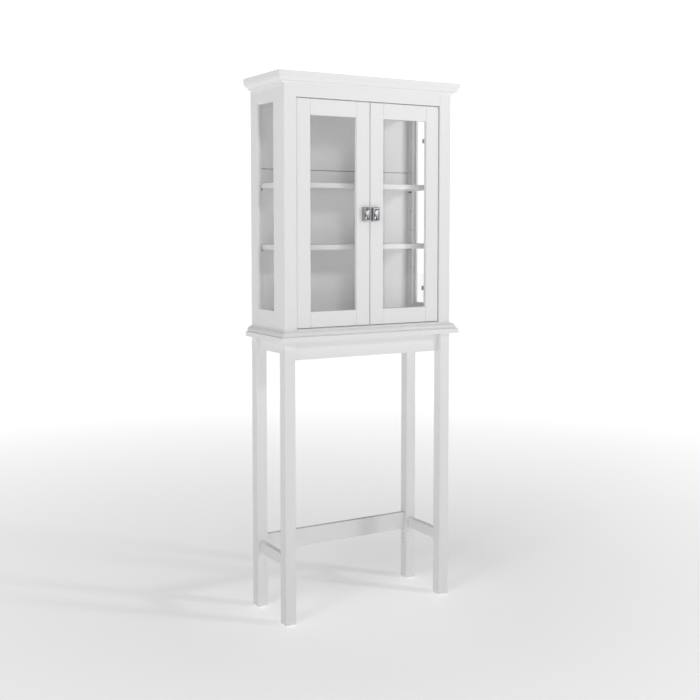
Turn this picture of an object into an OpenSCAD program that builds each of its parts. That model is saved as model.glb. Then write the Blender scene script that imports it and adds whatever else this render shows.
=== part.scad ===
// Over the toilet storage rack: a glazed two-door cabinet on a four-legged open stand.
// Millimetres, +Z up, front faces -Y. The origin is on the floor, midway between the
// sides and midway between the wall plane and the front edge of the waist slab.

/* [Overall] */
// Height from the floor to the top of the crown
overall_h = 1701.8; // [1300:0.1:2100]
// Width over the crown moulding
overall_w = 660.4; // [540:0.1:820]
// Depth from the wall plane to the front edge of the waist slab
overall_d = 260.35; // [215:0.05:330]

/* [Stand] */
// Side of the square legs
leg = 36; // [28:0.5:46]
// Height of the legs
stand_h = 885; // [750:1:960]
// Height of the front apron
apron_front_h = 60; // [40:1:80]
// Height of the side and rear aprons
apron_side_h = 40; // [30:1:60]
// Thickness of the aprons and side stretchers
rail_t = 18; // [12:0.5:21]
// Setback of the front apron behind the front faces of the legs
apron_setback = 16; // [4:0.5:18]
// Setback of the side rails behind the outer faces of the legs
side_setback = 9; // [4:0.5:12]
// Height of the underside of the side stretchers above the floor
stretcher_z = 180; // [120:1:260]
// Height of the side stretchers
stretcher_h = 36; // [24:1:50]
// Height of the rear stretcher
rear_stretcher_h = 60; // [40:1:80]
// Thickness of the rear stretcher
rear_stretcher_t = 15; // [10:0.5:20]
// Diameter of the row of holes that set the height of the rear stretcher
row_hole_d = 6; // [4:0.5:8]
// Spacing of that row of holes
row_pitch = 15.2; // [12:0.1:20]

/* [Waist] */
// Thickness of the waist slab
slab_t = 16; // [12:0.5:22]
// Overhang of the slab past the sides of the cabinet
slab_over = 22; // [18:0.5:30]
// Overhang of the slab past the face of the cabinet
slab_front_over = 24.175; // [18:0.025:32]
// Height of the quarter-round moulding on the slab
waist_h = 20; // [17:0.5:26]
// How far that moulding stands out from the cabinet
waist_out = 15; // [12:0.5:18]
// Thickness of the flat that is left above its quarter round
waist_cap_t = 2; // [1:0.5:4]
// Height of that flat
waist_cap_h = 4; // [2:0.5:6]

/* [Cabinet] */
// Width of the crown past the sides of the cabinet
crown_over = 24.2; // [20:0.1:30]
// How far the crown stands out past the face of the cabinet
crown_front_over = 17; // [15:0.5:20]
// Height of the crown moulding
crown_h = 35.8; // [32:0.1:42]
// Thickness of the top board
top_t = 15.8; // [12:0.1:18]
// Inset of the small step under the crown fascia
crown_step_t = 3; // [1:0.5:5]
// Height of that step
crown_step_h = 2; // [1:0.5:4]
// Radius of the quarter round below that step
crown_round = 12.5; // [8:0.5:13]
// Distance that the crown fascia laps over the cabinet
crown_lap = 6; // [3:0.5:12]
// Thickness of the face frame
face_t = 21; // [18:0.5:25]
// Width of the face frame stiles
face_stile_w = 42; // [34:0.5:52]
// Height of the face frame top rail below the crown
face_rail_h = 38.7; // [28:0.1:56]
// Thickness of the side frames
side_t = 18; // [16:0.5:21]
// Width of the front stile of each side
side_front_w = 52; // [42:0.5:62]
// Width of the rear stile of each side
side_rear_w = 46.175; // [38:0.025:56]
// Height of the face frame bottom rail above the waist moulding
face_lip_h = 1.5; // [0:0.5:20]
// Height of the side top rails below the crown
side_top_h = 49.3; // [40:0.1:64]
// Height of the side bottom rails above the waist moulding
side_bottom_h = 54.8; // [40:0.1:66]
// Thickness of the fixed panes
pane_t = 4; // [3:0.5:5]
// Thickness of the back panel
back_t = 5; // [3:0.5:6]
// Thickness of the cabinet floor
floor_t = 16; // [12:0.5:18]
// Distance of the back panel's inner face from the wall plane
back_inset = 11; // [8:0.5:16]
// Height of the scored fold line below the upper edge of the side windows
fold_drop = 196; // [100:1:260]
// Depth of the fixed panes behind the outer faces of the sides
pane_reveal = 8; // [5:0.5:9]
// Width of the rebates that hold the panes and the door glass
rebate_w = 7; // [5:0.5:8]
// Height of the wall rail inside the top rear
wall_rail_h = 54; // [40:1:70]
// Thickness of the wall rail
wall_rail_t = 18; // [12:0.5:21]
// Distance from the centre of the cabinet to each wall screw
wall_hole_x = 220; // [120:5:240]

/* [Doors] */
// Thickness of the doors
door_t = 18; // [16:0.5:20]
// Gap round the doors
door_gap = 2.7; // [2:0.1:4]
// Setback of the doors behind the face frame
door_setback = 5; // [2:0.5:7]
// Width of the door stiles
door_stile_w = 48; // [44:0.5:56]
// Height of the door rails
door_rail_h = 49; // [40:0.5:60]
// Depth of the glass behind the door face
glass_depth = 12; // [10:0.5:12.5]
// Thickness of the door glass
door_glass_t = 3; // [3:0.5:4]

/* [Shelves] */
// Thickness of the shelves
shelf_t = 15.5; // [12:0.5:20]
// Diameter of the shelf pins
pin_d = 5; // [4:0.5:6]
// Spacing of the rows of pin holes
pin_pitch = 64.5; // [50:0.5:80]
// Height of the lowest pin holes above the side window's lower edge
pin_first = 120.3; // [80:0.1:160]
// Least height left between the highest pin holes and the window's upper edge
pin_clear = 150; // [100:1:190]
// Distance of the pin holes from the side window
pin_edge = 17; // [12:0.5:22]
// Gap between a shelf and the side at each end
shelf_gap = 2; // [1:0.5:4]
// Setback of the shelves behind the face frame
shelf_setback = 23; // [20:0.5:40]

/* [Handles] */
// Width of each handle
handle_w = 25; // [18:0.5:28]
// Height of each handle
handle_h = 43; // [30:0.5:60]
// How far each handle stands out from the door
handle_d = 13; // [9:0.5:18]

/* [Hinges] */
// Distance of each hinge from the end of the door
hinge_inset = 106; // [80:1:130]
// Outer diameter of the hinge cups
cup_d = 32; // [30:0.5:32]

/* [Hidden] */
$fn = 48;
yb = overall_d / 2;
yf = -yb + slab_front_over;
xb = overall_w / 2 - crown_over;
xs = xb + slab_over;
z_slab = stand_h + slab_t;
z_waist = z_slab + waist_h;
z_crown = overall_h - crown_h;
z_carcass = overall_h - top_t;
// legs
lx = xb - leg;
ly_f = yf + leg;
ly_r = yb - leg;
row_y = yb - leg / 2 + 2.3;
row_depth = 12;
rear_z0 = stretcher_z - 6;
row_z0 = rear_z0 - 3;
// quarter rounds, no larger than the mouldings that they are cut on
waist_r = min(waist_out - waist_cap_t, waist_h - waist_cap_h - 2);
crown_r = min(crown_round, min(crown_over, crown_front_over) - crown_step_t - 1,
  crown_h - top_t - crown_step_h - 2);
// side frames and panes
xi = xb - side_t;
y_face_back = yf + face_t;
win_y0 = y_face_back + side_front_w;
win_y1 = yb - side_rear_w;
win_z0 = z_waist + side_bottom_h;
win_z1 = z_crown - side_top_h;
pane_x0 = xb - pane_reveal - pane_t;
win_h = win_z1 - win_z0;
// face frame opening and doors
open_x = xb - face_stile_w;
open_z0 = z_waist + face_lip_h;
open_z1 = z_crown - face_rail_h;
dy0 = yf + door_setback;
dy1 = dy0 + door_t;
dx0 = door_gap / 2;
dx1 = open_x - door_gap;
dz0 = open_z0 + door_gap;
dz1 = open_z1 - door_gap;
gx0 = dx0 + door_stile_w;
gx1 = dx1 - door_stile_w;
gz0 = dz0 + door_rail_h;
gz1 = dz1 - door_rail_h;
gy0 = dy0 + glass_depth;
// back and wall rail
back_y0 = yb - back_inset;
wall_rail_z0 = z_carcass - 16 - wall_rail_h;
// shelf pins
pin_rows = floor((win_h - pin_first - pin_clear) / pin_pitch) + 1;
pin_y_r = win_y1 + pin_edge;
pin_y_f = win_y0 - pin_edge;
low_row = floor((pin_rows - 1) / 4);
high_row = pin_rows - 1 - low_row;
pin_top = pin_d / 2 + 0.5;
shelf_x = xi - shelf_gap;
shelf_y0 = y_face_back + shelf_setback;
shelf_y1 = back_y0 - 2;
// hinges: the door swings about a line near its outer front edge
piv_x = dx1 - 4.3;
piv_y = dy0 + 3;
arm_x = dx1 - 0.9;
arm_y = dy1 + 3.8;
cup_x = dx1 - 20.5;
cup_depth = 12;
link_z = 5;
hinge_zs = [dz0 + hinge_inset, dz1 - hinge_inset];
handle_x = handle_w / 2 + 4.3;
handle_z = (dz0 + dz1) / 2;
big = 900;

module paint() {
  color([0.93, 0.93, 0.93]) children();
}

module steel() {
  color([0.62, 0.63, 0.65]) children();
}

module clear_glass() {
  color([0.82, 0.88, 0.9, 0.35]) children();
}

// A box given by its two limits along each axis.
module bx(x0, x1, y0, y1, z0, z1) {
  translate([x0, y0, z0]) cube([x1 - x0, y1 - y0, z1 - z0]);
}

// The other side of the rack: the same shape turned over the centre plane.
module other_side() {
  mirror([1, 0, 0]) children();
}

// ---------- stand ----------

// Front leg, right-hand side.
module leg_front() {
  bx(lx, xb, yf, ly_f, 0, stand_h);
}

// Rear leg, right-hand side, with the row of blind holes on its inner face.
module leg_rear() {
  difference() {
    bx(lx, xb, ly_r, yb, 0, stand_h);
    for (i = [-3 : 3]) {
      translate([lx - 1, row_y, row_z0 + i * row_pitch])
        rotate([0, 90, 0]) cylinder(d = row_hole_d, h = row_depth + 1);
    }
  }
}

module leg_front_left() {
  paint() other_side() leg_front();
}

module leg_front_right() {
  paint() leg_front();
}

module leg_rear_left() {
  paint() other_side() leg_rear();
}

module leg_rear_right() {
  paint() leg_rear();
}

module apron_front() {
  y = yf + apron_setback;
  paint() bx(-lx, lx, y, y + rail_t, stand_h - apron_front_h, stand_h);
}

module apron_rear() {
  y = yb - 10 - rail_t;
  paint() bx(-lx, lx, y, y + rail_t, stand_h - apron_side_h, stand_h);
}

// Side apron, right-hand side.
module apron_side() {
  x = xb - side_setback;
  bx(x - rail_t, x, ly_f, ly_r, stand_h - apron_side_h, stand_h);
}

module apron_left() {
  paint() other_side() apron_side();
}

module apron_right() {
  paint() apron_side();
}

// Side stretcher, right-hand side.
module stretcher_side() {
  x = xb - side_setback;
  bx(x - rail_t, x, ly_f, ly_r, stretcher_z, stretcher_z + stretcher_h);
}

module stretcher_left() {
  paint() other_side() stretcher_side();
}

module stretcher_right() {
  paint() stretcher_side();
}

module stretcher_rear() {
  y = row_y - rear_stretcher_t / 2;
  paint() bx(-lx, lx, y, y + rear_stretcher_t, rear_z0, rear_z0 + rear_stretcher_h);
}

// ---------- waist ----------

module waist_slab() {
  paint() bx(-xs, xs, -yb, yb, stand_h, z_slab);
}

// Moulding outline: first axis is the distance out from the cabinet, second is height.
module waist_outline() {
  z = waist_h - waist_cap_h - waist_r;
  square([waist_out, z]);
  translate([waist_cap_t, z]) intersection() {
    circle(r = waist_r);
    square([waist_r, waist_r]);
  }
  square([waist_cap_t, waist_h]);
}

// Moulding running along the front, its ends cut at 45 degrees through the corners
// that stand at "cx" out from the cabinet side.
module front_run(cx, cy, z0, len) {
  difference() {
    translate([-len / 2, cy, z0]) rotate([90, 0, 90])
      linear_extrude(height = len) mirror([1, 0]) children();
    mitre_cut(cx, cy, z0, 0);
    other_side() mitre_cut(cx, cy, z0, 0);
  }
}

// Moulding running back along the left side, its front end cut at 45 degrees.
module side_run(cx, px, cy, z0) {
  difference() {
    translate([-px, yb, z0]) rotate([90, 0, 0])
      linear_extrude(height = yb - cy + 60) mirror([1, 0]) children();
    mitre_cut(cx, cy, z0, 1);
  }
}

// Half space past the mitre plane through the left front corner at (-cx, cy).
module mitre_cut(cx, cy, z0, side) {
  translate([-cx, cy, z0 - 1]) rotate([0, 0, 45])
    translate([-big / 2, side == 1 ? -big : 0, 0]) cube([big, big, 80]);
}

module waist_mould_front() {
  paint() front_run(xb, yf, z_slab, overall_w + 60) waist_outline();
}

module waist_mould_left() {
  paint() side_run(xb, xb, yf, z_slab) waist_outline();
}

module waist_mould_right() {
  paint() other_side() side_run(xb, xb, yf, z_slab) waist_outline();
}

// ---------- cabinet ----------

module cabinet_floor() {
  paint() bx(-xi, xi, y_face_back, back_y0, z_slab, z_slab + floor_t);
}

module top_board() {
  x = xb - crown_lap;
  paint() bx(-x, x, yf + crown_lap, yb, z_carcass, overall_h);
}

// Thin board with a scored fold line across its inner face and two screw holes.
module back_panel() {
  z = win_z1 - fold_drop;
  paint() difference() {
    bx(-xi, xi, back_y0, back_y0 + back_t, z_slab, z_carcass);
    bx(-xi - 1, xi + 1, back_y0 - 1, back_y0 + 1.5, z - 1, z + 1);
    wall_holes(back_y0 - 1, back_t + 2);
  }
}

// The two wall screw holes, from "y" back over the length "len".
module wall_holes(y, len) {
  for (s = [-1, 1]) {
    translate([s * wall_hole_x, y, wall_rail_z0 + wall_rail_h / 2])
      rotate([-90, 0, 0]) cylinder(d = 6, h = len);
  }
}

// Rail inside the top rear of the cabinet, drilled for two wall screws.
module wall_rail() {
  paint() difference() {
    bx(-xi, xi, back_y0 - wall_rail_t, back_y0, wall_rail_z0, wall_rail_z0 + wall_rail_h);
    wall_holes(back_y0 - wall_rail_t - 1, wall_rail_t + 2);
  }
}

// Face frame stile, right-hand side.
module frame_stile() {
  bx(open_x, xb, yf, y_face_back, z_slab, z_carcass);
}

module frame_stile_left() {
  paint() other_side() frame_stile();
}

module frame_stile_right() {
  paint() frame_stile();
}

module frame_top_rail() {
  paint() bx(-open_x, open_x, yf + 1, y_face_back, open_z1, z_carcass);
}

module frame_bottom_rail() {
  paint() bx(-open_x, open_x, yf + 1, y_face_back, z_slab, open_z0);
}

// Rebate for the pane, right-hand side.
module pane_rebate() {
  bx(xi - 1, xb - pane_reveal, win_y0 - rebate_w, win_y1 + rebate_w, win_z0 - rebate_w, win_z1 + rebate_w);
}

// Height of a row of pin holes, counted from the lowest.
function pin_z(i) = win_z0 + pin_first + i * pin_pitch;

// Rows of blind shelf pin holes at "y", right-hand side.
module pin_holes(y) {
  for (i = [0 : pin_rows - 1]) {
    translate([xi - 1, y, pin_z(i)])
      rotate([0, 90, 0]) cylinder(d = pin_d, h = 11);
  }
}

// Front stile of the side, right-hand side.
module side_front_stile() {
  difference() {
    bx(xi, xb, y_face_back, win_y0, z_slab, z_carcass);
    pane_rebate();
    pin_holes(pin_y_f);
  }
}

// Rear stile of the side, right-hand side.
module side_rear_stile() {
  difference() {
    bx(xi, xb, win_y1, yb, z_slab, z_carcass);
    pane_rebate();
    pin_holes(pin_y_r);
  }
}

module side_top_rail() {
  difference() {
    bx(xi, xb, win_y0, win_y1, win_z1, z_carcass);
    pane_rebate();
  }
}

module side_bottom_rail() {
  difference() {
    bx(xi, xb, win_y0, win_y1, z_slab, win_z0);
    pane_rebate();
  }
}

module side_glass() {
  bx(pane_x0, pane_x0 + pane_t, win_y0 - 6.5, win_y1 + 6.5, win_z0 - 6.5, win_z1 + 6.5);
}

module side_left_front_stile() {
  paint() other_side() side_front_stile();
}

module side_left_rear_stile() {
  paint() other_side() side_rear_stile();
}

module side_left_top_rail() {
  paint() other_side() side_top_rail();
}

module side_left_bottom_rail() {
  paint() other_side() side_bottom_rail();
}

module side_left_glass() {
  clear_glass() other_side() side_glass();
}

module side_right_front_stile() {
  paint() side_front_stile();
}

module side_right_rear_stile() {
  paint() side_rear_stile();
}

module side_right_top_rail() {
  paint() side_top_rail();
}

module side_right_bottom_rail() {
  paint() side_bottom_rail();
}

module side_right_glass() {
  clear_glass() side_glass();
}

// Crown outline: first axis runs inwards from the outer edge, second is height below
// the carcass top. "deep" is the distance from the outer edge to the cabinet face.
module crown_outline(deep) {
  lo = -(crown_h - top_t);
  r = crown_r;
  x = crown_step_t + r;
  square([deep + crown_lap, top_t]);
  translate([crown_step_t, -crown_step_h]) square([deep - crown_step_t, crown_step_h]);
  translate([x, -crown_step_h]) intersection() {
    circle(r = r);
    translate([-r, -r]) square([r, r]);
  }
  translate([x - 0.01, lo]) square([deep - x + 0.01, -lo]);
}

module crown_front() {
  cx = xb + crown_over;
  cy = yf - crown_front_over;
  paint() difference() {
    translate([-cx, cy, z_carcass]) rotate([90, 0, 90])
      linear_extrude(height = 2 * cx) crown_outline(crown_front_over);
    mitre_cut(cx, cy, z_crown - 1, 0);
    other_side() mitre_cut(cx, cy, z_crown - 1, 0);
  }
}

// Crown along the left side; it stops at the cabinet side below the top board.
module crown_side() {
  cx = xb + crown_over;
  cy = yf - crown_front_over;
  difference() {
    translate([-cx, yb, z_carcass]) rotate([90, 0, 0])
      linear_extrude(height = yb - cy) crown_outline(crown_over);
    mitre_cut(cx, cy, z_crown - 1, 1);
  }
}

module crown_left() {
  paint() crown_side();
}

module crown_right() {
  paint() other_side() crown_side();
}

// A pair of push catches under the top rail, one behind each door.
module door_catches() {
  color([0.85, 0.85, 0.85]) for (s = [-1, 1]) {
    translate([s * (gx0 + gx1) * 0.605, dy1 + 7.3, open_z1 - 7])
      cube([30, 14, 14], center = true);
  }
}

// ---------- shelves ----------

module upper_shelf() {
  z = pin_z(high_row) + pin_top;
  paint() bx(-shelf_x, shelf_x, shelf_y0, shelf_y1, z, z + shelf_t);
}

module lower_shelf() {
  z = pin_z(low_row) + pin_top;
  paint() bx(-shelf_x, shelf_x, shelf_y0, shelf_y1, z, z + shelf_t);
}

// One pin: a shank in the hole and a head the shelf rests on.
module pin() {
  rotate([0, 90, 0]) cylinder(d = pin_d - 0.2, h = 8);
  rotate([0, -90, 0]) cylinder(r = pin_top, h = 8);
}

module shelf_pins() {
  steel() for (s = [0, 1], y = [pin_y_f, pin_y_r], i = [low_row, high_row]) {
    mirror([s, 0, 0]) translate([xi, y, pin_z(i)]) pin();
  }
}

// ---------- doors, drawn on the right-hand side ----------

// Rebate for the glass in the back of the door.
module glass_rebate() {
  bx(gx0 - rebate_w, gx1 + rebate_w, gy0, dy1 + 1, gz0 - rebate_w, gz1 + rebate_w);
}

module door_hinge_stile() {
  difference() {
    bx(gx1, dx1, dy0, dy1, dz0, dz1);
    glass_rebate();
    for (z = hinge_zs) {
      translate([cup_x, dy1 + 1, z]) rotate([90, 0, 0])
        cylinder(d = cup_d, h = cup_depth + 1);
    }
  }
}

module door_meeting_stile() {
  difference() {
    bx(dx0, gx0, dy0, dy1, dz0, dz1);
    glass_rebate();
  }
}

module door_top_rail() {
  difference() {
    bx(gx0, gx1, dy0, dy1, gz1, dz1);
    glass_rebate();
  }
}

module door_bottom_rail() {
  difference() {
    bx(gx0, gx1, dy0, dy1, dz0, gz0);
    glass_rebate();
  }
}

module door_glass() {
  bx(gx0 - 6.5, gx1 + 6.5, gy0, gy0 + door_glass_t, gz0 - 6.5, gz1 + 6.5);
}

module left_door_hinge_stile() {
  paint() other_side() door_hinge_stile();
}

module left_door_meeting_stile() {
  paint() other_side() door_meeting_stile();
}

module left_door_top_rail() {
  paint() other_side() door_top_rail();
}

module left_door_bottom_rail() {
  paint() other_side() door_bottom_rail();
}

module left_door_glass() {
  clear_glass() other_side() door_glass();
}

module right_door_hinge_stile() {
  paint() door_hinge_stile();
}

module right_door_meeting_stile() {
  paint() door_meeting_stile();
}

module right_door_top_rail() {
  paint() door_top_rail();
}

module right_door_bottom_rail() {
  paint() door_bottom_rail();
}

module right_door_glass() {
  clear_glass() door_glass();
}

// Shallow chromed frame that holds the crystal, with its back on the door face.
module handle_mount() {
  h2 = handle_h / 2;
  w2 = handle_w / 2;
  difference() {
    bx(handle_x - w2, handle_x + w2, dy0 - handle_d + 1.5, dy0, handle_z - h2, handle_z + h2);
    bx(handle_x - w2 + 2.5, handle_x + w2 - 2.5, dy0 - handle_d, dy0 - 3,
      handle_z - h2 + 5, handle_z + h2 - 5);
  }
}

// Crystal block with four facets meeting at its middle.
module handle_crystal() {
  h2 = handle_h / 2 - 5.3;
  w2 = handle_w / 2 - 2.8;
  ya = dy0 - 3;
  yc = dy0 - handle_d + 2;
  translate([handle_x, 0, handle_z]) polyhedron(
    points = [
      [-w2, ya, -h2], [w2, ya, -h2], [w2, ya, h2], [-w2, ya, h2],
      [-w2, yc, -h2], [w2, yc, -h2], [w2, yc, h2], [-w2, yc, h2],
      [0, dy0 - handle_d, 0]
    ],
    faces = [
      [0, 1, 2, 3], [0, 4, 5, 1], [1, 5, 6, 2], [2, 6, 7, 3], [3, 7, 4, 0],
      [4, 8, 5], [5, 8, 6], [6, 8, 7], [7, 8, 4]
    ]
  );
}

module left_handle_mount() {
  color([0.8, 0.8, 0.82]) other_side() handle_mount();
}

module left_handle_crystal() {
  clear_glass() other_side() handle_crystal();
}

module right_handle_mount() {
  color([0.8, 0.8, 0.82]) handle_mount();
}

module right_handle_crystal() {
  clear_glass() handle_crystal();
}

// ---------- hinges ----------

// Blocks behind the face frame that bring the hinge arms level with the opening.
module hinge_blocks() {
  paint() for (s = [0, 1], z = hinge_zs) {
    mirror([s, 0, 0]) bx(open_x, xi, y_face_back, win_y0, z - 24, z + 24);
  }
}

// One arm: a plate on the block, the arm itself, two lugs and the pin between them.
module hinge_arm() {
  x1 = open_x;
  bx(x1 - 2, x1, dy1 + 8, dy1 + 46, -16, 16);
  bx(x1 - 16, x1 - 1.9, dy1 + 13, dy1 + 57, -7, 7);
  for (z = [-7, 5.6]) {
    bx(x1 - 8, x1 - 2, arm_y, dy1 + 14, z, z + 1.4);
    translate([arm_x, arm_y, z]) cylinder(r = 2.5, h = 1.4);
  }
  translate([arm_x, arm_y, -7]) cylinder(r = 1.2, h = 14);
}

module hinge_arms() {
  steel() for (s = [0, 1], z = hinge_zs) {
    mirror([s, 0, 0]) translate([0, 0, z]) hinge_arm();
  }
}

// Cup sunk in the back of the door, with a thin flange on the surface.
module hinge_cup() {
  translate([cup_x, 0, 0]) difference() {
    union() {
      translate([0, dy1 - cup_depth, 0]) rotate([-90, 0, 0])
        cylinder(d = cup_d, h = cup_depth);
      difference() {
        bx(-16.5, 15, dy1, dy1 + 1, -27, 27);
        for (z = [-22.5, 22.5]) {
          translate([0, dy1 - 1, z]) rotate([-90, 0, 0]) cylinder(d = 3.6, h = 3);
        }
      }
    }
    translate([0, dy1 - cup_depth + 0.8, 0]) rotate([-90, 0, 0])
      cylinder(d = cup_d - 1.6, h = cup_depth + 2);
  }
}

module left_hinge_cups() {
  steel() for (z = hinge_zs) {
    translate([0, 0, z]) other_side() hinge_cup();
  }
}

module right_hinge_cups() {
  steel() for (z = hinge_zs) {
    translate([0, 0, z]) hinge_cup();
  }
}

function unit(a, b) = (b - a) / norm(b - a);

function across(u) = [-u[1], u[0]];

// Offset of a bent strip's edge at a corner between directions "u" and "w".
function corner(u, w) = 1.2 * (across(u) + across(w)) / (1 + u * w);

// Cranked link, 2.4 thick, from the pin of the arm round into the cup.
module hinge_link() {
  p = [[0, 0], [-21.6, 6.7], [-33.9, 5.9], [-30.3, -5.5]];
  u = [for (i = [0 : 2]) unit(p[i], p[i + 1])];
  e = [corner(u[0], u[0]), corner(u[0], u[1]), corner(u[1], u[2]), corner(u[2], u[2])];
  translate([arm_x, arm_y, -link_z]) linear_extrude(height = 2 * link_z) difference() {
    union() {
      circle(r = 2.4);
      polygon(concat([for (i = [0 : 3]) p[i] + e[i]], [for (i = [3 : -1 : 0]) p[i] - e[i]]));
    }
    circle(r = 1.5);
  }
}

module left_hinge_links() {
  steel() for (z = hinge_zs) {
    translate([0, 0, z]) other_side() hinge_link();
  }
}

module right_hinge_links() {
  steel() for (z = hinge_zs) {
    translate([0, 0, z]) hinge_link();
  }
}

leg_front_left();
leg_front_right();
leg_rear_left();
leg_rear_right();
apron_front();
apron_rear();
apron_left();
apron_right();
stretcher_left();
stretcher_right();
stretcher_rear();
waist_slab();
waist_mould_front();
waist_mould_left();
waist_mould_right();
cabinet_floor();
top_board();
back_panel();
wall_rail();
frame_stile_left();
frame_stile_right();
frame_top_rail();
frame_bottom_rail();
side_left_front_stile();
side_left_rear_stile();
side_left_top_rail();
side_left_bottom_rail();
side_left_glass();
side_right_front_stile();
side_right_rear_stile();
side_right_top_rail();
side_right_bottom_rail();
side_right_glass();
crown_front();
crown_left();
crown_right();
upper_shelf();
lower_shelf();
shelf_pins();
door_catches();
left_door_hinge_stile();
left_door_meeting_stile();
left_door_top_rail();
left_door_bottom_rail();
left_door_glass();
right_door_hinge_stile();
right_door_meeting_stile();
right_door_top_rail();
right_door_bottom_rail();
right_door_glass();
left_handle_mount();
left_handle_crystal();
right_handle_mount();
right_handle_crystal();
hinge_blocks();
hinge_arms();
left_hinge_cups();
right_hinge_cups();
left_hinge_links();
right_hinge_links();
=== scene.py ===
import bpy
import bmesh
import math
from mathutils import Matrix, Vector


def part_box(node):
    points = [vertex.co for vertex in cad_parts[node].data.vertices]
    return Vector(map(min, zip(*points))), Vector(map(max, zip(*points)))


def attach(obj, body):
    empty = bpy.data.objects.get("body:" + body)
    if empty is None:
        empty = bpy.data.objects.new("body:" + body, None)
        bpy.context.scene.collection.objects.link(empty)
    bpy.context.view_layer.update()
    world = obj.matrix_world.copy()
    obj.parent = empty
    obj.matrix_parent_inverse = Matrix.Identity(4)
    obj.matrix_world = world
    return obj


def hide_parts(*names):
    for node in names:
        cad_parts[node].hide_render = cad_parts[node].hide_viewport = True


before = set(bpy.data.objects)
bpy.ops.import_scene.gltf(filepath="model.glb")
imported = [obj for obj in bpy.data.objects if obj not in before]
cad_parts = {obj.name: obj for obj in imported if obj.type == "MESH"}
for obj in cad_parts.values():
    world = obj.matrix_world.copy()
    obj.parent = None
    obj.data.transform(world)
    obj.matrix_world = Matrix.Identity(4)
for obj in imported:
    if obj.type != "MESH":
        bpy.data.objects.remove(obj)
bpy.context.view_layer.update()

# ---------- camera ----------
# A standing person's view from the front left of the rack: the eye is level with the
# doors and a little over three metres away, and the lens is a short portrait one.

eye_place = (-1.7710, -3.0003, 1.2367)
eye_turn = 30.346
eye_drop = 4.0
eye_lens = 55.11
eye_shift = -0.0695
bpy.ops.object.camera_add(
    location=eye_place, rotation=(math.radians(90 - eye_drop), 0, -math.radians(eye_turn))
)
camera = bpy.context.object
camera.data.sensor_width = 36
camera.data.lens = eye_lens
camera.data.shift_y = eye_shift
camera.data.clip_end = 60
bpy.context.scene.camera = camera

# ---------- legs ----------
# Four square legs of solid wood, sprayed with white satin paint. Each has one length of
# timber, its long edges eased by hand, and a heavier chamfer round the foot. The rear
# pair are drilled on the inside with a row of blind holes that set the rear stretcher.


class Wire:
    """One socket of a shader, which can be used in sums."""

    def __init__(self, finish, socket):
        self.finish, self.socket = finish, socket

    def math(self, operation, first, second):
        return self.finish.node("Math", {"operation": operation}, {0: first, 1: second})

    def __add__(self, other):
        return self.math("ADD", self, other)

    def __mul__(self, other):
        return self.math("MULTIPLY", self, other)

    def __pow__(self, other):
        return self.math("POWER", self, other)

    def __rpow__(self, other):
        return self.math("POWER", other, self)

    __radd__ = __add__
    __rmul__ = __mul__


class Finish:
    """A surface finish on one shader, which every pattern reads in the rack's own metres."""

    def __init__(self, name, **constants):
        self.material = bpy.data.materials.new(name)
        self.material.use_nodes = True
        self.tree = self.material.node_tree
        self.shader = self.tree.nodes["Principled BSDF"]
        self.output = self.tree.nodes["Material Output"]
        self.place = self.node("TexCoord", {}, {}, "Object")
        for socket, value in constants.items():
            self.feed(self.shader.inputs[socket.replace("_", " ")], value)

    def node(self, kind, settings, values, out=0):
        made = self.tree.nodes.new("ShaderNode" + kind)
        for name, value in settings.items():
            setattr(made, name, value)
        for name, value in values.items():
            self.feed(made.inputs[name], value)
        return Wire(self, made.outputs[out])

    def feed(self, socket, value):
        if isinstance(value, Wire):
            self.tree.links.new(value.socket, socket)
        else:
            socket.default_value = value

    def cloud(self, size, detail=2.0, stretch=(1, 1, 1)):
        """Soft noise from 0 to 1 whose blotches are that many metres across."""
        spread = self.node("Mapping", {}, {"Vector": self.place, "Scale": stretch})
        return self.node(
            "TexNoise", {}, {"Vector": spread, "Scale": 1 / size, "Detail": detail}
        )

    def blend(self, share, first, second):
        """A colour between two others."""
        return self.node(
            "Mix",
            {"data_type": "RGBA", "clamp_factor": True},
            {"Factor": share, 6: (*first, 1), 7: (*second, 1)},
            2,
        )


def satin_paint(name, stretch, grain):
    """Sprayed white satin paint: a fine orange peel, a faint grain under it along one way,
    and a very slight drift in tone from board to board."""
    paint = Finish(name, Specular_IOR_Level=0.42, Coat_Roughness=0.3)
    drift = paint.cloud(0.35, 1.0)
    fleck = paint.cloud(0.004, 3.0, stretch)
    tone = drift * 0.7 + fleck * 0.3
    paint.feed(
        paint.shader.inputs["Base Color"],
        paint.blend(tone, (0.84, 0.84, 0.84), (0.885, 0.885, 0.882)),
    )
    patch = paint.cloud(0.05, 2.0)
    paint.feed(paint.shader.inputs["Roughness"], 0.33 + patch * 0.12 + fleck * 0.04)
    peel = paint.cloud(0.0011, 2.0)
    height = peel * 0.7 + fleck * grain
    bump = paint.node(
        "Bump", {}, {"Height": height, "Strength": 0.1, "Distance": 0.0002}, "Normal"
    )
    paint.feed(paint.shader.inputs["Normal"], bump)
    return paint.material


paint_upright = satin_paint("satin_white_upright", (1, 1, 0.06), 0.6)
paint_across = satin_paint("satin_white_across", (0.06, 1, 1), 0.6)
paint_deep = satin_paint("satin_white_front_to_back", (1, 0.06, 1), 0.6)


def block(name, low, high):
    """A squared blank between two corners, left open in edit mode."""
    low, high = Vector(low), Vector(high)
    bpy.ops.object.select_all(action="DESELECT")
    bpy.ops.mesh.primitive_cube_add(size=1, location=(low + high) / 2, scale=high - low)
    piece = bpy.context.object
    piece.name = piece.data.name = name
    bpy.ops.object.transform_apply(location=True, rotation=True, scale=True)
    bpy.ops.object.mode_set(mode="EDIT")
    return piece


hair = 0.0001  # the slack allowed when corners are told by the face they lie on
drill_lead = 0.001


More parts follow.
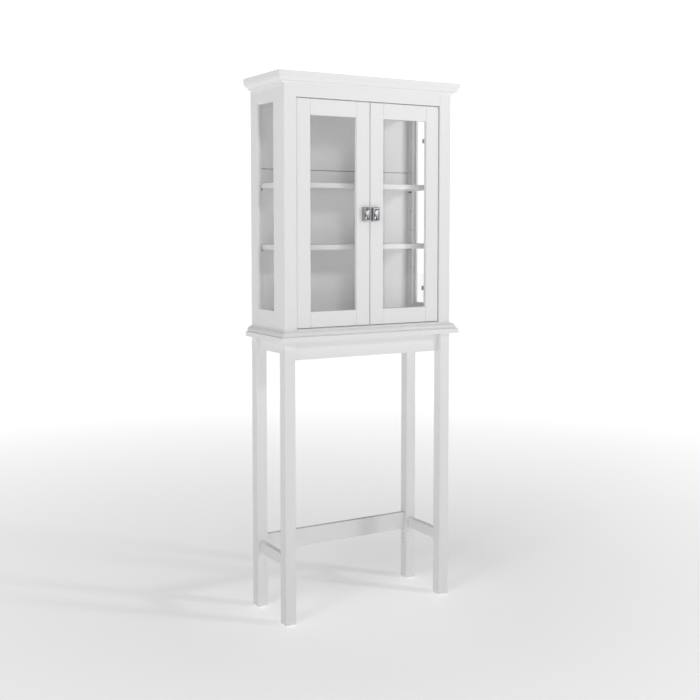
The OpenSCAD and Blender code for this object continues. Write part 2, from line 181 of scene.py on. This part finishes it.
def pick(piece, kind, test):
    """Selects the faces or edges that pass the test on their middle and direction."""
    bpy.ops.mesh.select_mode(type=kind)
    bpy.ops.mesh.select_all(action="DESELECT")
    shape = bmesh.from_edit_mesh(piece.data)
    for part in shape.faces if kind == "FACE" else shape.edges:
        middle = sum((v.co for v in part.verts), Vector()) / len(part.verts)
        if kind == "FACE":
            way = part.normal
        else:
            way = (part.verts[1].co - part.verts[0].co).normalized()
        if test(middle, way):
            part.select_set(True)
    shape.select_flush_mode()
    bmesh.update_edit_mesh(piece.data)


def saw(at, way, drop=False):
    """Cuts straight through the whole blank; drop takes off what lies past the cut."""
    bpy.ops.mesh.select_all(action="SELECT")
    bpy.ops.mesh.bisect(plane_co=at, plane_no=way, use_fill=drop, clear_outer=drop)


def hold(piece):
    """Leaves edit mode and selects this piece alone."""
    if bpy.context.mode != "OBJECT":
        bpy.ops.object.mode_set(mode="OBJECT")
    bpy.ops.object.select_all(action="DESELECT")
    piece.select_set(True)
    bpy.context.view_layer.objects.active = piece


def ease(piece, width, steps=2):
    """Takes the sharpness off every edge, as a sander does before the paint."""
    hold(piece)
    soft = piece.modifiers.new("eased_edges", "BEVEL")
    soft.width, soft.segments = width, steps
    soft.limit_method, soft.angle_limit = "ANGLE", math.radians(38)
    soft.use_clamp_overlap = True
    bpy.ops.object.modifier_apply(modifier=soft.name)


def cut_away(piece, cutter):
    """Takes the cutter's shape out of a piece, and puts the cutter away."""
    hold(piece)
    cut = piece.modifiers.new("cut", "BOOLEAN")
    cut.operation, cut.solver, cut.object = "DIFFERENCE", "EXACT", cutter
    bpy.ops.object.modifier_apply(modifier=cut.name)
    bpy.data.objects.remove(cutter)


def drill(piece, at, way, wide, deep, sides=32):
    """Bores a round hole that starts at a point and runs that deep along one axis."""
    if bpy.context.mode != "OBJECT":
        bpy.ops.object.mode_set(mode="OBJECT")
    bpy.ops.object.select_all(action="DESELECT")
    way = Vector(way)
    start = Vector(at) - way * drill_lead
    bpy.ops.mesh.primitive_cylinder_add(
        vertices=sides,
        radius=wide / 2,
        depth=deep + drill_lead,
        location=start + way * (deep + drill_lead) / 2,
        rotation=way.to_track_quat("Z", "Y").to_euler(),
    )
    cut_away(piece, bpy.context.object)


def twin(piece, name):
    """A copy with its own mesh, turned over the middle of the rack."""
    hold(piece)
    bpy.ops.object.duplicate(linked=False)
    copy = bpy.context.object
    copy.name = copy.data.name = name
    copy.scale.x = -1
    bpy.ops.object.transform_apply(location=False, rotation=False, scale=True)
    bpy.ops.object.mode_set(mode="EDIT")
    bpy.ops.mesh.select_all(action="SELECT")
    bpy.ops.mesh.normals_make_consistent(inside=False)
    bpy.ops.object.mode_set(mode="OBJECT")
    return copy


def fit(piece, node, body, finish):
    """Smooths the eased edges, gives the finish, and fixes the piece in the rack."""
    hold(piece)
    bpy.ops.object.shade_smooth_by_angle(angle=math.radians(50))
    even = piece.modifiers.new("flat_faces", "WEIGHTED_NORMAL")
    even.keep_sharp, even.weight = True, 100
    bpy.ops.object.modifier_apply(modifier=even.name)
    piece.data.materials.clear()
    piece.data.materials.append(finish)
    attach(piece, body)
    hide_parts(node)


def upright_edge(middle, way):
    return abs(way.z) > 0.9


foot_chamfer = 0.002
long_ease = 0.0012
row_pitch = 0.0152
row_below = 0.003
row_hole = 0.006
row_depth = 0.012
stretcher_low, stretcher_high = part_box("stretcher_rear")
row_y = (stretcher_low.y + stretcher_high.y) / 2
for end in ("front", "rear"):
    low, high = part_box(f"leg_{end}_right")
    leg = block(f"{end}_leg_right", low, high)
    pick(leg, "EDGE", upright_edge)
    bpy.ops.mesh.bevel(offset=long_ease, segments=3)
    pick(leg, "EDGE", lambda middle, way: middle.z < low.z + hair)
    bpy.ops.mesh.bevel(offset=foot_chamfer, segments=1)
    if end == "rear":
        for step in range(-3, 4):
            z = stretcher_low.z - row_below + step * row_pitch
            drill(leg, (low.x, row_y, z), (1, 0, 0), row_hole, row_depth)
    fit(twin(leg, f"{end}_leg_left"), f"leg_{end}_left", "cabinet", paint_upright)
    fit(leg, f"leg_{end}_right", "cabinet", paint_upright)

# ---------- aprons and stretchers ----------
# Flat rails dowelled between the legs: a deep apron in front, shallow ones at the sides
# and back, and the low stretchers. The lower edges are eased a little more, as hands
# and mops meet them.

rail_ease = 0.0011
low_edge_ease = 0.0018


def rail(name, node):
    low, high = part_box(node)
    made = block(name, low, high)
    long_way = 0 if high.x - low.x > high.y - low.y else 1
    pick(
        made,
        "EDGE",
        lambda middle, way: abs(way[long_way]) > 0.9 and middle.z < low.z + hair,
    )
    bpy.ops.mesh.bevel(offset=low_edge_ease, segments=3)
    ease(made, rail_ease)
    return made


fit(rail("front_apron", "apron_front"), "apron_front", "cabinet", paint_across)
fit(rail("rear_apron", "apron_rear"), "apron_rear", "cabinet", paint_across)
fit(rail("rear_stretcher", "stretcher_rear"), "stretcher_rear", "cabinet", paint_across)
for level in ("apron", "stretcher"):
    side_rail = rail(f"side_{level}_right", f"{level}_right")
    fit(twin(side_rail, f"side_{level}_left"), f"{level}_left", "cabinet", paint_deep)
    fit(side_rail, f"{level}_right", "cabinet", paint_deep)

# ---------- waist ----------
# A slab screwed down on the legs, with a quarter-round moulding glued on top of it round
# the foot of the cabinet. The moulding is one profile, mitred at both front corners.

slab_ease = 0.0018
slab_corner = 0.003
mould_ease = 0.0005
cap_thick = 0.002
cap_high = 0.004
low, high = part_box("waist_slab")
slab = block("waist_board", low, high)
pick(slab, "EDGE", upright_edge)
bpy.ops.mesh.bevel(offset=slab_corner, segments=4)
ease(slab, slab_ease, 3)
fit(slab, "waist_slab", "cabinet", paint_across)

low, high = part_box("waist_mould_front")
round_size = high.y - low.y - cap_thick - hair
waist_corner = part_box("frame_stile_right")[1].x
front_mould = block("waist_moulding_front", low, (high.x, high.y, high.z - cap_high))
saw((0, high.y - cap_thick, 0), (0, 1, 0))
pick(
    front_mould,
    "FACE",
    lambda middle, way: way.z > 0.9 and middle.y > high.y - cap_thick,
)
bpy.ops.mesh.extrude_region_move(TRANSFORM_OT_translate={"value": (0, 0, cap_high)})
pick(
    front_mould,
    "EDGE",
    lambda middle, way: abs(way.x) > 0.9
    and middle.y < low.y + hair
    and middle.z > high.z - cap_high - hair,
)
bpy.ops.mesh.bevel(offset=round_size, segments=12)
saw((waist_corner, high.y, 0), (1, 1, 0), True)
saw((-waist_corner, high.y, 0), (-1, 1, 0), True)
ease(front_mould, mould_ease, 1)
fit(front_mould, "waist_mould_front", "cabinet", paint_across)

low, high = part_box("waist_mould_right")
front_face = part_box("waist_mould_front")[1].y
side_mould = block("waist_moulding_right", low, (high.x, high.y, high.z - cap_high))
saw((low.x + cap_thick, 0, 0), (1, 0, 0))
pick(
    side_mould,
    "FACE",
    lambda middle, way: way.z > 0.9 and middle.x < low.x + cap_thick,
)
bpy.ops.mesh.extrude_region_move(TRANSFORM_OT_translate={"value": (0, 0, cap_high)})
pick(
    side_mould,
    "EDGE",
    lambda middle, way: abs(way.y) > 0.9
    and middle.x > high.x - hair
    and middle.z > high.z - cap_high - hair,
)
bpy.ops.mesh.bevel(offset=round_size, segments=12)
saw((waist_corner, front_face, 0), (-1, -1, 0), True)
ease(side_mould, mould_ease, 1)
fit(twin(side_mould, "waist_moulding_left"), "waist_mould_left", "cabinet", paint_deep)
fit(side_mould, "waist_mould_right", "cabinet", paint_deep)

# ---------- cabinet floor, back and wall rail ----------
# The floor is a painted board held between the sides. The back is thin painted board
# that folds flat for packing, so a shallow score crosses it. A stout rail under the top
# takes the two screws that hold the rack to the wall.

screw_apart = 0.440
screw_hole = 0.006
fold_drop = 0.196
fold_wide = 0.002
fold_deep = 0.0015
floor_ease = 0.001
thin_ease = 0.0004
through_back = 0.008
through_rail = 0.021
fixing_ease = 0.0008
low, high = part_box("cabinet_floor")
floor_board = block("floor_board", low, high)
pick(floor_board, "EDGE", lambda middle, way: abs(way.x) > 0.9)
bpy.ops.mesh.bevel(offset=floor_ease, segments=2)
fit(floor_board, "cabinet_floor", "cabinet", paint_across)

window_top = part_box("side_right_top_rail")[0].z
rail_low, rail_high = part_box("wall_rail")
screw_z = (rail_low.z + rail_high.z) / 2
low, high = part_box("back_panel")
back = block("back_board", low, high)
fold_z = window_top - fold_drop
saw((0, 0, fold_z - fold_wide / 2), (0, 0, 1))
saw((0, 0, fold_z + fold_wide / 2), (0, 0, 1))
pick(back, "FACE", lambda middle, way: way.y < -0.9 and abs(middle.z - fold_z) < 0.0005)
bpy.ops.mesh.extrude_region_move(TRANSFORM_OT_translate={"value": (0, fold_deep, 0)})
# Raw board core where the paint is cut away, set darker than the core really is: it is partly
# painted shade for the inside of the back's score and of the pin bores.
core_and_shade = Finish("board_core_painted_shade", Roughness=0.8, Specular_IOR_Level=0.2)
fibre = core_and_shade.cloud(0.0015, 3.0, (0.2, 1, 1))
core_and_shade.feed(
    core_and_shade.shader.inputs["Base Color"],
    core_and_shade.blend(fibre, (0.20, 0.19, 0.18), (0.34, 0.33, 0.32)),
)


def raw_core_and_shade(piece, cut):
    """Gives the faces that a test picks the dark raw board core, set darker than the core
    itself as painted shade.
    """
    piece.data.materials.append(core_and_shade.material)
    for face in piece.data.polygons:
        if cut(face.center):
            face.material_index = 1


for side in (-1, 1):
    drill(back, (side * screw_apart / 2, low.y, screw_z), (0, 1, 0), screw_hole, through_back)
ease(back, thin_ease, 1)
fit(back, "back_panel", "cabinet", paint_across)
# The faces inside the score take the dark core: partly the raw board, partly painted shade in
# the groove.
raw_core_and_shade(
    back,
    lambda middle: abs(middle.z - fold_z) < fold_wide / 2 + 2 * hair
    and low.y + hair < middle.y < high.y - 10 * hair,
)

fixing_rail = block("wall_fixing_rail", rail_low, rail_high)
bpy.ops.mesh.select_all(action="DESELECT")
for side in (-1, 1):
    at = (side * screw_apart / 2, rail_low.y, screw_z)
    drill(fixing_rail, at, (0, 1, 0), screw_hole, through_rail)
ease(fixing_rail, fixing_ease)
fit(fixing_rail, "wall_rail", "cabinet", paint_across)

# ---------- sides ----------
# Each side is a frame of two stiles and two rails, rebated on the inside for a fixed
# pane. The stiles are bored with rows of holes for the shelf pins.

pane_play = 0.0005
rout_past = 0.01
pin_bore = 0.005
pin_bore_deep = 0.010
bore_lip = 0.0006
pin_steps = 3
joint_ease = 0.0016


def rout(piece, low, high):
    """Clears a squared rebate out of a board."""
    bpy.ops.object.mode_set(mode="OBJECT")
    bpy.ops.object.select_all(action="DESELECT")
    low, high = Vector(low), Vector(high)
    bpy.ops.mesh.primitive_cube_add(size=1, location=(low + high) / 2, scale=high - low)
    cut_away(piece, bpy.context.object)


pane_low, pane_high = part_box("side_right_glass")
pin_low, pin_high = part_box("shelf_pins")
pin_radius = 0.003
first_pin = pin_low.z + pin_radius
pin_pitch = (pin_high.z - pin_low.z - 2 * pin_radius) / pin_steps
for part, grain in (
    ("front_stile", paint_upright),
    ("rear_stile", paint_upright),
    ("top_rail", paint_deep),
    ("bottom_rail", paint_deep),
):
    low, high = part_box(f"side_right_{part}")
    board = block(f"right_side_{part}", low, high)
    pick(board, "EDGE", lambda middle, way: middle.x > high.x - hair)
    bpy.ops.mesh.bevel(offset=joint_ease, segments=2)
    rout(
        board,
        (low.x - rout_past, pane_low.y - pane_play, pane_low.z - pane_play),
        (pane_high.x, pane_high.y + pane_play, pane_high.z + pane_play),
    )
    if part.endswith("stile"):
        y = pin_low.y + pin_radius if part == "front_stile" else pin_high.y - pin_radius
        row_middle = first_pin + pin_pitch * pin_steps / 2
        row_half = pin_pitch * (pin_steps / 2 + 1) + pin_bore
        for step in range(-1, pin_steps + 2):
            at = (low.x, y, first_pin + step * pin_pitch)
            drill(board, at, (1, 0, 0), pin_bore, pin_bore_deep, 24)
    ease(board, thin_ease, 1)
    other = twin(board, f"left_side_{part}")
    fit(other, f"side_left_{part}", "cabinet", grain)
    fit(board, f"side_right_{part}", "cabinet", grain)
    # The pin bores take the dark core: partly the raw board, partly painted shade inside the
    # holes.
    if part.endswith("stile"):
        for made in (board, other):
            raw_core_and_shade(
                made,
                lambda middle: abs(middle.y - y) < pin_bore / 2
                and abs(middle.z - row_middle) < row_half
                and bore_lip < abs(middle.x) - low.x < pin_bore_deep + 2 * hair,
            )

# ---------- panes ----------
# Clear float glass, cut to size with its sharp edges rubbed down. The four panes lie in
# their rebates against the wood.

head_on_share = 0.04
pane_ease = 0.0005


def float_glass(name, tint, mirror):
    """Clear glass that lets the light straight through and mirrors more at a glance."""
    glass = Finish(name)
    slant = glass.node("LayerWeight", {}, {"Blend": 0.5}, "Facing")
    edge = head_on_share + (1 - head_on_share) * slant**5
    haze = glass.cloud(0.08, 2.0)
    clear = glass.node("BsdfTransparent", {}, {"Color": (*tint, 1)})
    shine = glass.node(
        "BsdfGlossy", {}, {"Color": (1, 1, 1, 1), "Roughness": 0.02 + haze * 0.02}
    )
    share = edge * mirror
    both = glass.node("MixShader", {}, {0: share, 1: clear, 2: shine})
    glass.feed(glass.output.inputs["Surface"], both)
    return glass.material


side_glass = float_glass("side_pane_glass", (0.985, 0.985, 0.985), 0.7)
door_glass = float_glass("door_pane_glass", (0.985, 0.98, 0.985), 0.9)


def pane(name, node):
    low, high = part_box(node)
    made = block(name, low, high)
    bpy.ops.mesh.select_all(action="SELECT")
    bpy.ops.mesh.bevel(offset=pane_ease, segments=1)
    return made


side_pane = pane("right_side_pane", "side_right_glass")
fit(
    twin(side_pane, "left_side_pane"), "side_left_glass", "cabinet", side_glass
)
fit(side_pane, "side_right_glass", "cabinet", side_glass)

# ---------- face frame ----------
# Two stiles that run the full height of the cabinet and two rails between them, which
# lie a millimetre further back. The doors close inside it.

frame_ease = 0.001
for part in ("top_rail", "bottom_rail"):
    low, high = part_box(f"frame_{part}")
    board = block(f"face_{part}", low, high)
    pick(board, "EDGE", lambda middle, way: abs(way.x) > 0.9)
    bpy.ops.mesh.bevel(offset=frame_ease, segments=2)
    ease(board, thin_ease, 1)
    fit(board, f"frame_{part}", "cabinet", paint_across)
low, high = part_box("frame_stile_right")
stile = block("face_stile_right", low, high)
pick(stile, "EDGE", upright_edge)
bpy.ops.mesh.bevel(offset=frame_ease, segments=3)
fit(twin(stile, "face_stile_left"), "frame_stile_left", "cabinet", paint_upright)
fit(stile, "frame_stile_right", "cabinet", paint_upright)

# ---------- crown ----------
# A board closes the top. Round its front and sides runs the crown: a plain fascia, a
# small step and a quarter round under it, down to a flat bed on the cabinet. It is one
# profile, mitred at the two front corners.

step_in = 0.003
step_high = 0.002
cove = 0.0125
lap = 0.006
crown_ease = 0.0008
low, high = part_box("top_board")
top = block("top_panel", low, high)
pick(top, "EDGE", lambda middle, way: middle.z > high.z - hair)
bpy.ops.mesh.bevel(offset=crown_ease, segments=2)
fit(top, "top_board", "cabinet", paint_across)
carcass_top = low.z


def crown_run(name, low, high, face, way):
    """The crown profile along one edge. way points out of the cabinet at that edge, face
    is how far the cabinet reaches that way, and low and high are the blank's corners."""
    way = Vector(way)
    out = max(abs(way.dot(low)), abs(way.dot(high)))
    bed = out - step_in - cove
    a, b = Vector(low), Vector(high)
    axis = 0 if abs(way.x) > 0.5 else 1
    sign = way[axis]
    a[axis], b[axis] = sorted((sign * face, sign * bed))
    made = block(name, a, b)
    saw((0, 0, carcass_top), (0, 0, 1))
    saw((0, 0, carcass_top - step_high - cove), (0, 0, 1))
    outward = lambda above: lambda middle, normal: (
        normal.dot(way) > 0.9 and middle.z > above
    )
    pick(made, "FACE", outward(carcass_top - step_high - cove))
    bpy.ops.mesh.extrude_region_move(TRANSFORM_OT_translate={"value": way * cove})
    pick(made, "FACE", outward(carcass_top))
    bpy.ops.mesh.extrude_region_move(TRANSFORM_OT_translate={"value": way * step_in})
    pick(
        made,
        "FACE",
        lambda middle, normal: normal.dot(way) < -0.9 and middle.z > carcass_top,
    )
    bpy.ops.mesh.extrude_region_move(TRANSFORM_OT_translate={"value": way * -lap})
    pick(
        made,
        "EDGE",
        lambda middle, run: abs(run[1 - axis]) > 0.9
        and middle.dot(way) > bed + cove - hair
        and middle.z < carcass_top - step_high - cove + hair,
    )
    bpy.ops.mesh.bevel(offset=cove - hair, segments=12)
    return made


low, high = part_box("crown_front")
outer_x = high.x
outer_y = low.y
cabinet_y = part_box("frame_stile_right")[0].y
cabinet_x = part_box("frame_stile_right")[1].x
front_crown = crown_run("crown_moulding_front", low, high, -cabinet_y, (0, -1, 0))
saw((outer_x, outer_y, 0), (1, 1, 0), True)
saw((-outer_x, outer_y, 0), (-1, 1, 0), True)
ease(front_crown, crown_ease)
fit(front_crown, "crown_front", "cabinet", paint_across)

low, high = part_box("crown_right")
side_crown = crown_run("crown_moulding_right", low, high, cabinet_x, (1, 0, 0))
saw((outer_x, outer_y, 0), (-1, -1, 0), True)
ease(side_crown, crown_ease)
fit(twin(side_crown, "crown_moulding_left"), "crown_left", "cabinet", paint_deep)
fit(side_crown, "crown_right", "cabinet", paint_deep)

# ---------- shelves and shelf pins ----------
# Two painted boards that lie loose on four gunmetal pins each. A pin is a turned peg with
# a thicker head under the shelf.


def plated(name, tone, rough, scuff):
    """Plated steel with fine scuffs that change its gloss."""
    metal = Finish(name, Metallic=1.0)
    wear = metal.cloud(0.006, 4.0, (1, 1, 0.15))
    metal.feed(
        metal.shader.inputs["Base Color"],
        metal.blend(wear, tuple(0.9 * c for c in tone), tone),
    )
    metal.feed(metal.shader.inputs["Roughness"], rough + wear * scuff)
    bump = metal.node(
        "Bump", {}, {"Height": wear, "Strength": 0.08, "Distance": 0.0001}, "Normal"
    )
    metal.feed(metal.shader.inputs["Normal"], bump)
    return metal.material


nickel = plated("satin_nickel", (0.62, 0.62, 0.63), 0.26, 0.16)
gunmetal = plated("gunmetal_pins", (0.16, 0.16, 0.17), 0.3, 0.16)


def refinish(node, finish):
    """Gives a piece that comes ready made its finish."""
    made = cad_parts[node]
    made.data.materials.clear()
    made.data.materials.append(finish)


shelf_round = 0.0015
shelf_ease = 0.0006
for level in ("upper", "lower"):
    low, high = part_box(f"{level}_shelf")
    shelf = block(f"{level}_shelf_board", low, high)
    pick(shelf, "EDGE", lambda middle, way: abs(way.x) > 0.9 and middle.y < 0)
    bpy.ops.mesh.bevel(offset=shelf_round, segments=3)
    ease(shelf, shelf_ease, 1)
    fit(shelf, f"{level}_shelf", f"{level}_shelf", paint_across)
refinish("shelf_pins", gunmetal)

# ---------- doors ----------
# Two small frames of stiles and rails, butt jointed, with the glass let into a rebate
# at the back. The hinge stiles are bored for the hinge cups.

cup_bore = 0.032
cup_deep = 0.012
cup_in = 0.0165
cup_half = 0.027
glass_low, glass_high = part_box("right_door_glass")
cups_low, cups_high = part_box("right_hinge_cups")
for part, grain in (
    ("hinge_stile", paint_upright),
    ("meeting_stile", paint_upright),
    ("top_rail", paint_across),
    ("bottom_rail", paint_across),
):
    low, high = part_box(f"right_door_{part}")
    board = block(f"right_{part}", low, high)
    pick(board, "EDGE", lambda middle, way: middle.y < low.y + hair)
    bpy.ops.mesh.bevel(offset=joint_ease, segments=2)
    rout(
        board,
        (glass_low.x - pane_play, glass_low.y, glass_low.z - pane_play),
        (glass_high.x + pane_play, high.y + rout_past, glass_high.z + pane_play),
    )
    if part == "hinge_stile":
        cup_x = cups_low.x + cup_in
        for z in (cups_low.z + cup_half, cups_high.z - cup_half):
            drill(board, (cup_x, high.y, z), (0, -1, 0), cup_bore, cup_deep, 48)
    ease(board, thin_ease, 1)
    fit(twin(board, f"left_{part}"), f"left_door_{part}", "left_door", grain)
    fit(board, f"right_door_{part}", "right_door", grain)
door_pane = pane("right_door_pane", "right_door_glass")
fit(
    twin(door_pane, "left_door_pane"), "left_door_glass", "left_door", door_glass
)
fit(door_pane, "right_door_glass", "right_door", door_glass)

# ---------- hinges and catches ----------
# Cup hinges of nickel plated steel, four in all: a cup in the door, a cranked link, and
# an arm on a block behind the face frame. Push catches in white plastic meet the doors.

for node in (
    "hinge_arms",
    "left_hinge_cups",
    "right_hinge_cups",
    "left_hinge_links",
    "right_hinge_links",
):
    refinish(node, nickel)
refinish("hinge_blocks", paint_upright)
moulded = Finish("white_catch_plastic", Specular_IOR_Level=0.4)
mottle = moulded.cloud(0.002, 2.0)
moulded.feed(
    moulded.shader.inputs["Base Color"],
    moulded.blend(mottle, (0.72, 0.72, 0.71), (0.76, 0.76, 0.75)),
)
moulded.feed(moulded.shader.inputs["Roughness"], 0.42 + mottle * 0.12)
refinish("door_catches", moulded.material)

# ---------- handles ----------
# Each handle is a shallow chromed frame, screwed on from behind, with a cut crystal set
# in it. Four facets of the crystal meet at a point in the middle, and its back is cut to
# a point too and silvered with foil.

chrome = plated("polished_chrome", (0.43, 0.435, 0.45), 0.05, 0.08)
crystal = Finish(
    "cut_crystal", Transmission_Weight=1.0, IOR=1.6, Specular_IOR_Level=0.6
)
cloudy = crystal.cloud(0.01, 2.0)
crystal.feed(
    crystal.shader.inputs["Base Color"],
    crystal.blend(cloudy, (0.93, 0.94, 0.96), (0.98, 0.98, 0.99)),
)
crystal.feed(crystal.shader.inputs["Roughness"], 0.005 + cloudy * 0.02)
foil = plated("crystal_foil", (0.93, 0.94, 0.96), 0.03, 0.05)
rim = 0.0025
rim_end = 0.005
rim_chamfer = 0.0012
rim_ease = 0.0003
seat_floor = 0.003
low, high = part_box("right_handle_mount")
mount = block("right_handle_frame", low, high)
pick(mount, "FACE", lambda middle, way: way.y < -0.9)
bpy.ops.mesh.inset(thickness=rim)
bpy.ops.transform.resize(
    value=(1, 1, (high.z - low.z - 2 * rim_end) / (high.z - low.z - 2 * rim)),
    center_override=(low + high) / 2,
)
bpy.ops.mesh.extrude_region_move(
    TRANSFORM_OT_translate={"value": (0, high.y - low.y - seat_floor, 0)}
)
pick(
    mount,
    "EDGE",
    lambda middle, way: middle.y < low.y + hair
    and (
        abs(middle.x - low.x) < hair
        or abs(middle.x - high.x) < hair
        or abs(middle.z - low.z) < hair
        or abs(middle.z - high.z) < hair
    ),
)
bpy.ops.mesh.bevel(offset=rim_chamfer, segments=1)
ease(mount, rim_ease)
fit(
    twin(mount, "left_handle_frame"), "left_handle_mount", "left_door", chrome
)
fit(mount, "right_handle_mount", "right_door", chrome)

facet_deep = 0.002
bezel = 0.0022
seat = 0.0004
heel = 0.0035
low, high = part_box("right_handle_crystal")
stone = block(
    "right_handle_stone",
    (low.x, low.y + facet_deep, low.z),
    (high.x, high.y - seat - heel, high.z),
)
pick(stone, "FACE", lambda middle, way: way.y > 0.9)
bpy.ops.mesh.poke(offset=heel)
pick(stone, "EDGE", lambda middle, way: middle.y < low.y + facet_deep + hair)
bpy.ops.mesh.bevel(offset=bezel, segments=1)
pick(stone, "FACE", lambda middle, way: way.y < -0.9)
bpy.ops.mesh.poke(offset=facet_deep)
for made, hand in ((twin(stone, "left_handle_stone"), "left"), (stone, "right")):
    hold(made)
    bpy.ops.object.shade_flat()
    made.data.materials.clear()
    made.data.materials.append(crystal.material)
    made.data.materials.append(foil)
    for face in made.data.polygons:
        face.material_index = 1 if face.normal.y > 0.2 else 0
    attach(made, f"{hand}_door")
    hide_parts(f"{hand}_handle_crystal")

# ---------- studio ----------
# A plain white floor in an even white room. A soft lamp stands high on the right with a
# tall strip light beside it, a weaker one on the left, and one hangs overhead.

floor_reach = 25
floor_drop = 0.0005
bpy.ops.object.select_all(action="DESELECT")
bpy.ops.mesh.primitive_circle_add(
    vertices=96, radius=floor_reach, fill_type="NGON", location=(0, 0, -floor_drop)
)
floor = bpy.context.object
floor.name = floor.data.name = "studio_floor"
white_floor = Finish("studio_white", Roughness=0.6, Specular_IOR_Level=0.2)
wash = white_floor.cloud(0.8, 1.0)
white_floor.feed(
    white_floor.shader.inputs["Base Color"],
    white_floor.blend(wash, (0.9, 0.9, 0.9), (0.92, 0.92, 0.92)),
)
reach = white_floor.node(
    "VectorMath", {"operation": "LENGTH"}, {0: white_floor.place}, "Value"
)
far = white_floor.node(
    "MapRange", {}, {"Value": reach, "From Min": 0.6, "From Max": 4.5}
)
white_floor.feed(
    white_floor.shader.inputs["Emission Color"],
    white_floor.blend(far, (0.34, 0.34, 0.34), (0.86, 0.86, 0.86)),
)
white_floor.shader.inputs["Emission Strength"].default_value = 1
floor.data.materials.append(white_floor.material)


def softbox(name, place, aim, wide, high, power):
    bpy.ops.object.light_add(type="AREA", location=place)
    lamp = bpy.context.object
    lamp.name = name
    lamp.data.shape = "RECTANGLE"
    lamp.data.size, lamp.data.size_y = wide, high
    lamp.data.energy = power
    lamp.rotation_euler = (Vector(aim) - Vector(place)).to_track_quat("-Z", "Y").to_euler()
    return lamp


softbox("right_lamp", (3.4, -3.65, 2.9), (0, 0, 1.2), 0.55, 0.55, 54)
softbox("strip_lamp", (2.39, -3.65, 1.5), (0.1, -0.09, 1.3), 0.15, 3.4, 3.6)
softbox("left_lamp", (-4.2, -2.2, 2.6), (0, 0, 1.2), 1.0, 1.0, 22)
softbox("top_lamp", (-1.2, -1.0, 4.4), (0, 0, 1.2), 1.6, 1.6, 22)

room = bpy.data.worlds.new("studio_room")
room.use_nodes = True
bpy.context.scene.world = room
tree = room.node_tree
tree.nodes.clear()
way = tree.nodes.new("ShaderNodeTexCoord")
parts = tree.nodes.new("ShaderNodeSeparateXYZ")
fall = tree.nodes.new("ShaderNodeValToRGB")
fall.color_ramp.interpolation = "EASE"
fall.color_ramp.elements[0].position = 0.0
fall.color_ramp.elements[0].color = (0.7, 0.7, 0.7, 1)
fall.color_ramp.elements[1].position = 0.45
fall.color_ramp.elements[1].color = (0.17, 0.17, 0.173, 1)
tree.links.new(way.outputs["Generated"], parts.inputs[0])
tree.links.new(parts.outputs["Z"], fall.inputs[0])
seen = tree.nodes.new("ShaderNodeBackground")
seen.inputs["Color"].default_value = (1, 1, 1, 1)
seen.inputs["Strength"].default_value = 1.2
light = tree.nodes.new("ShaderNodeBackground")
tree.links.new(fall.outputs[0], light.inputs["Color"])
light.inputs["Strength"].default_value = 1.0
ray = tree.nodes.new("ShaderNodeLightPath")
both = tree.nodes.new("ShaderNodeMixShader")
out = tree.nodes.new("ShaderNodeOutputWorld")
tree.links.new(ray.outputs["Is Camera Ray"], both.inputs[0])
tree.links.new(light.outputs[0], both.inputs[1])
tree.links.new(seen.outputs[0], both.inputs[2])
tree.links.new(both.outputs[0], out.inputs["Surface"])
bpy.context.scene.view_settings.view_transform = "Standard"
bpy.context.scene.cycles.diffuse_bounces = 8
bpy.context.scene.cycles.transparent_max_bounces = 16
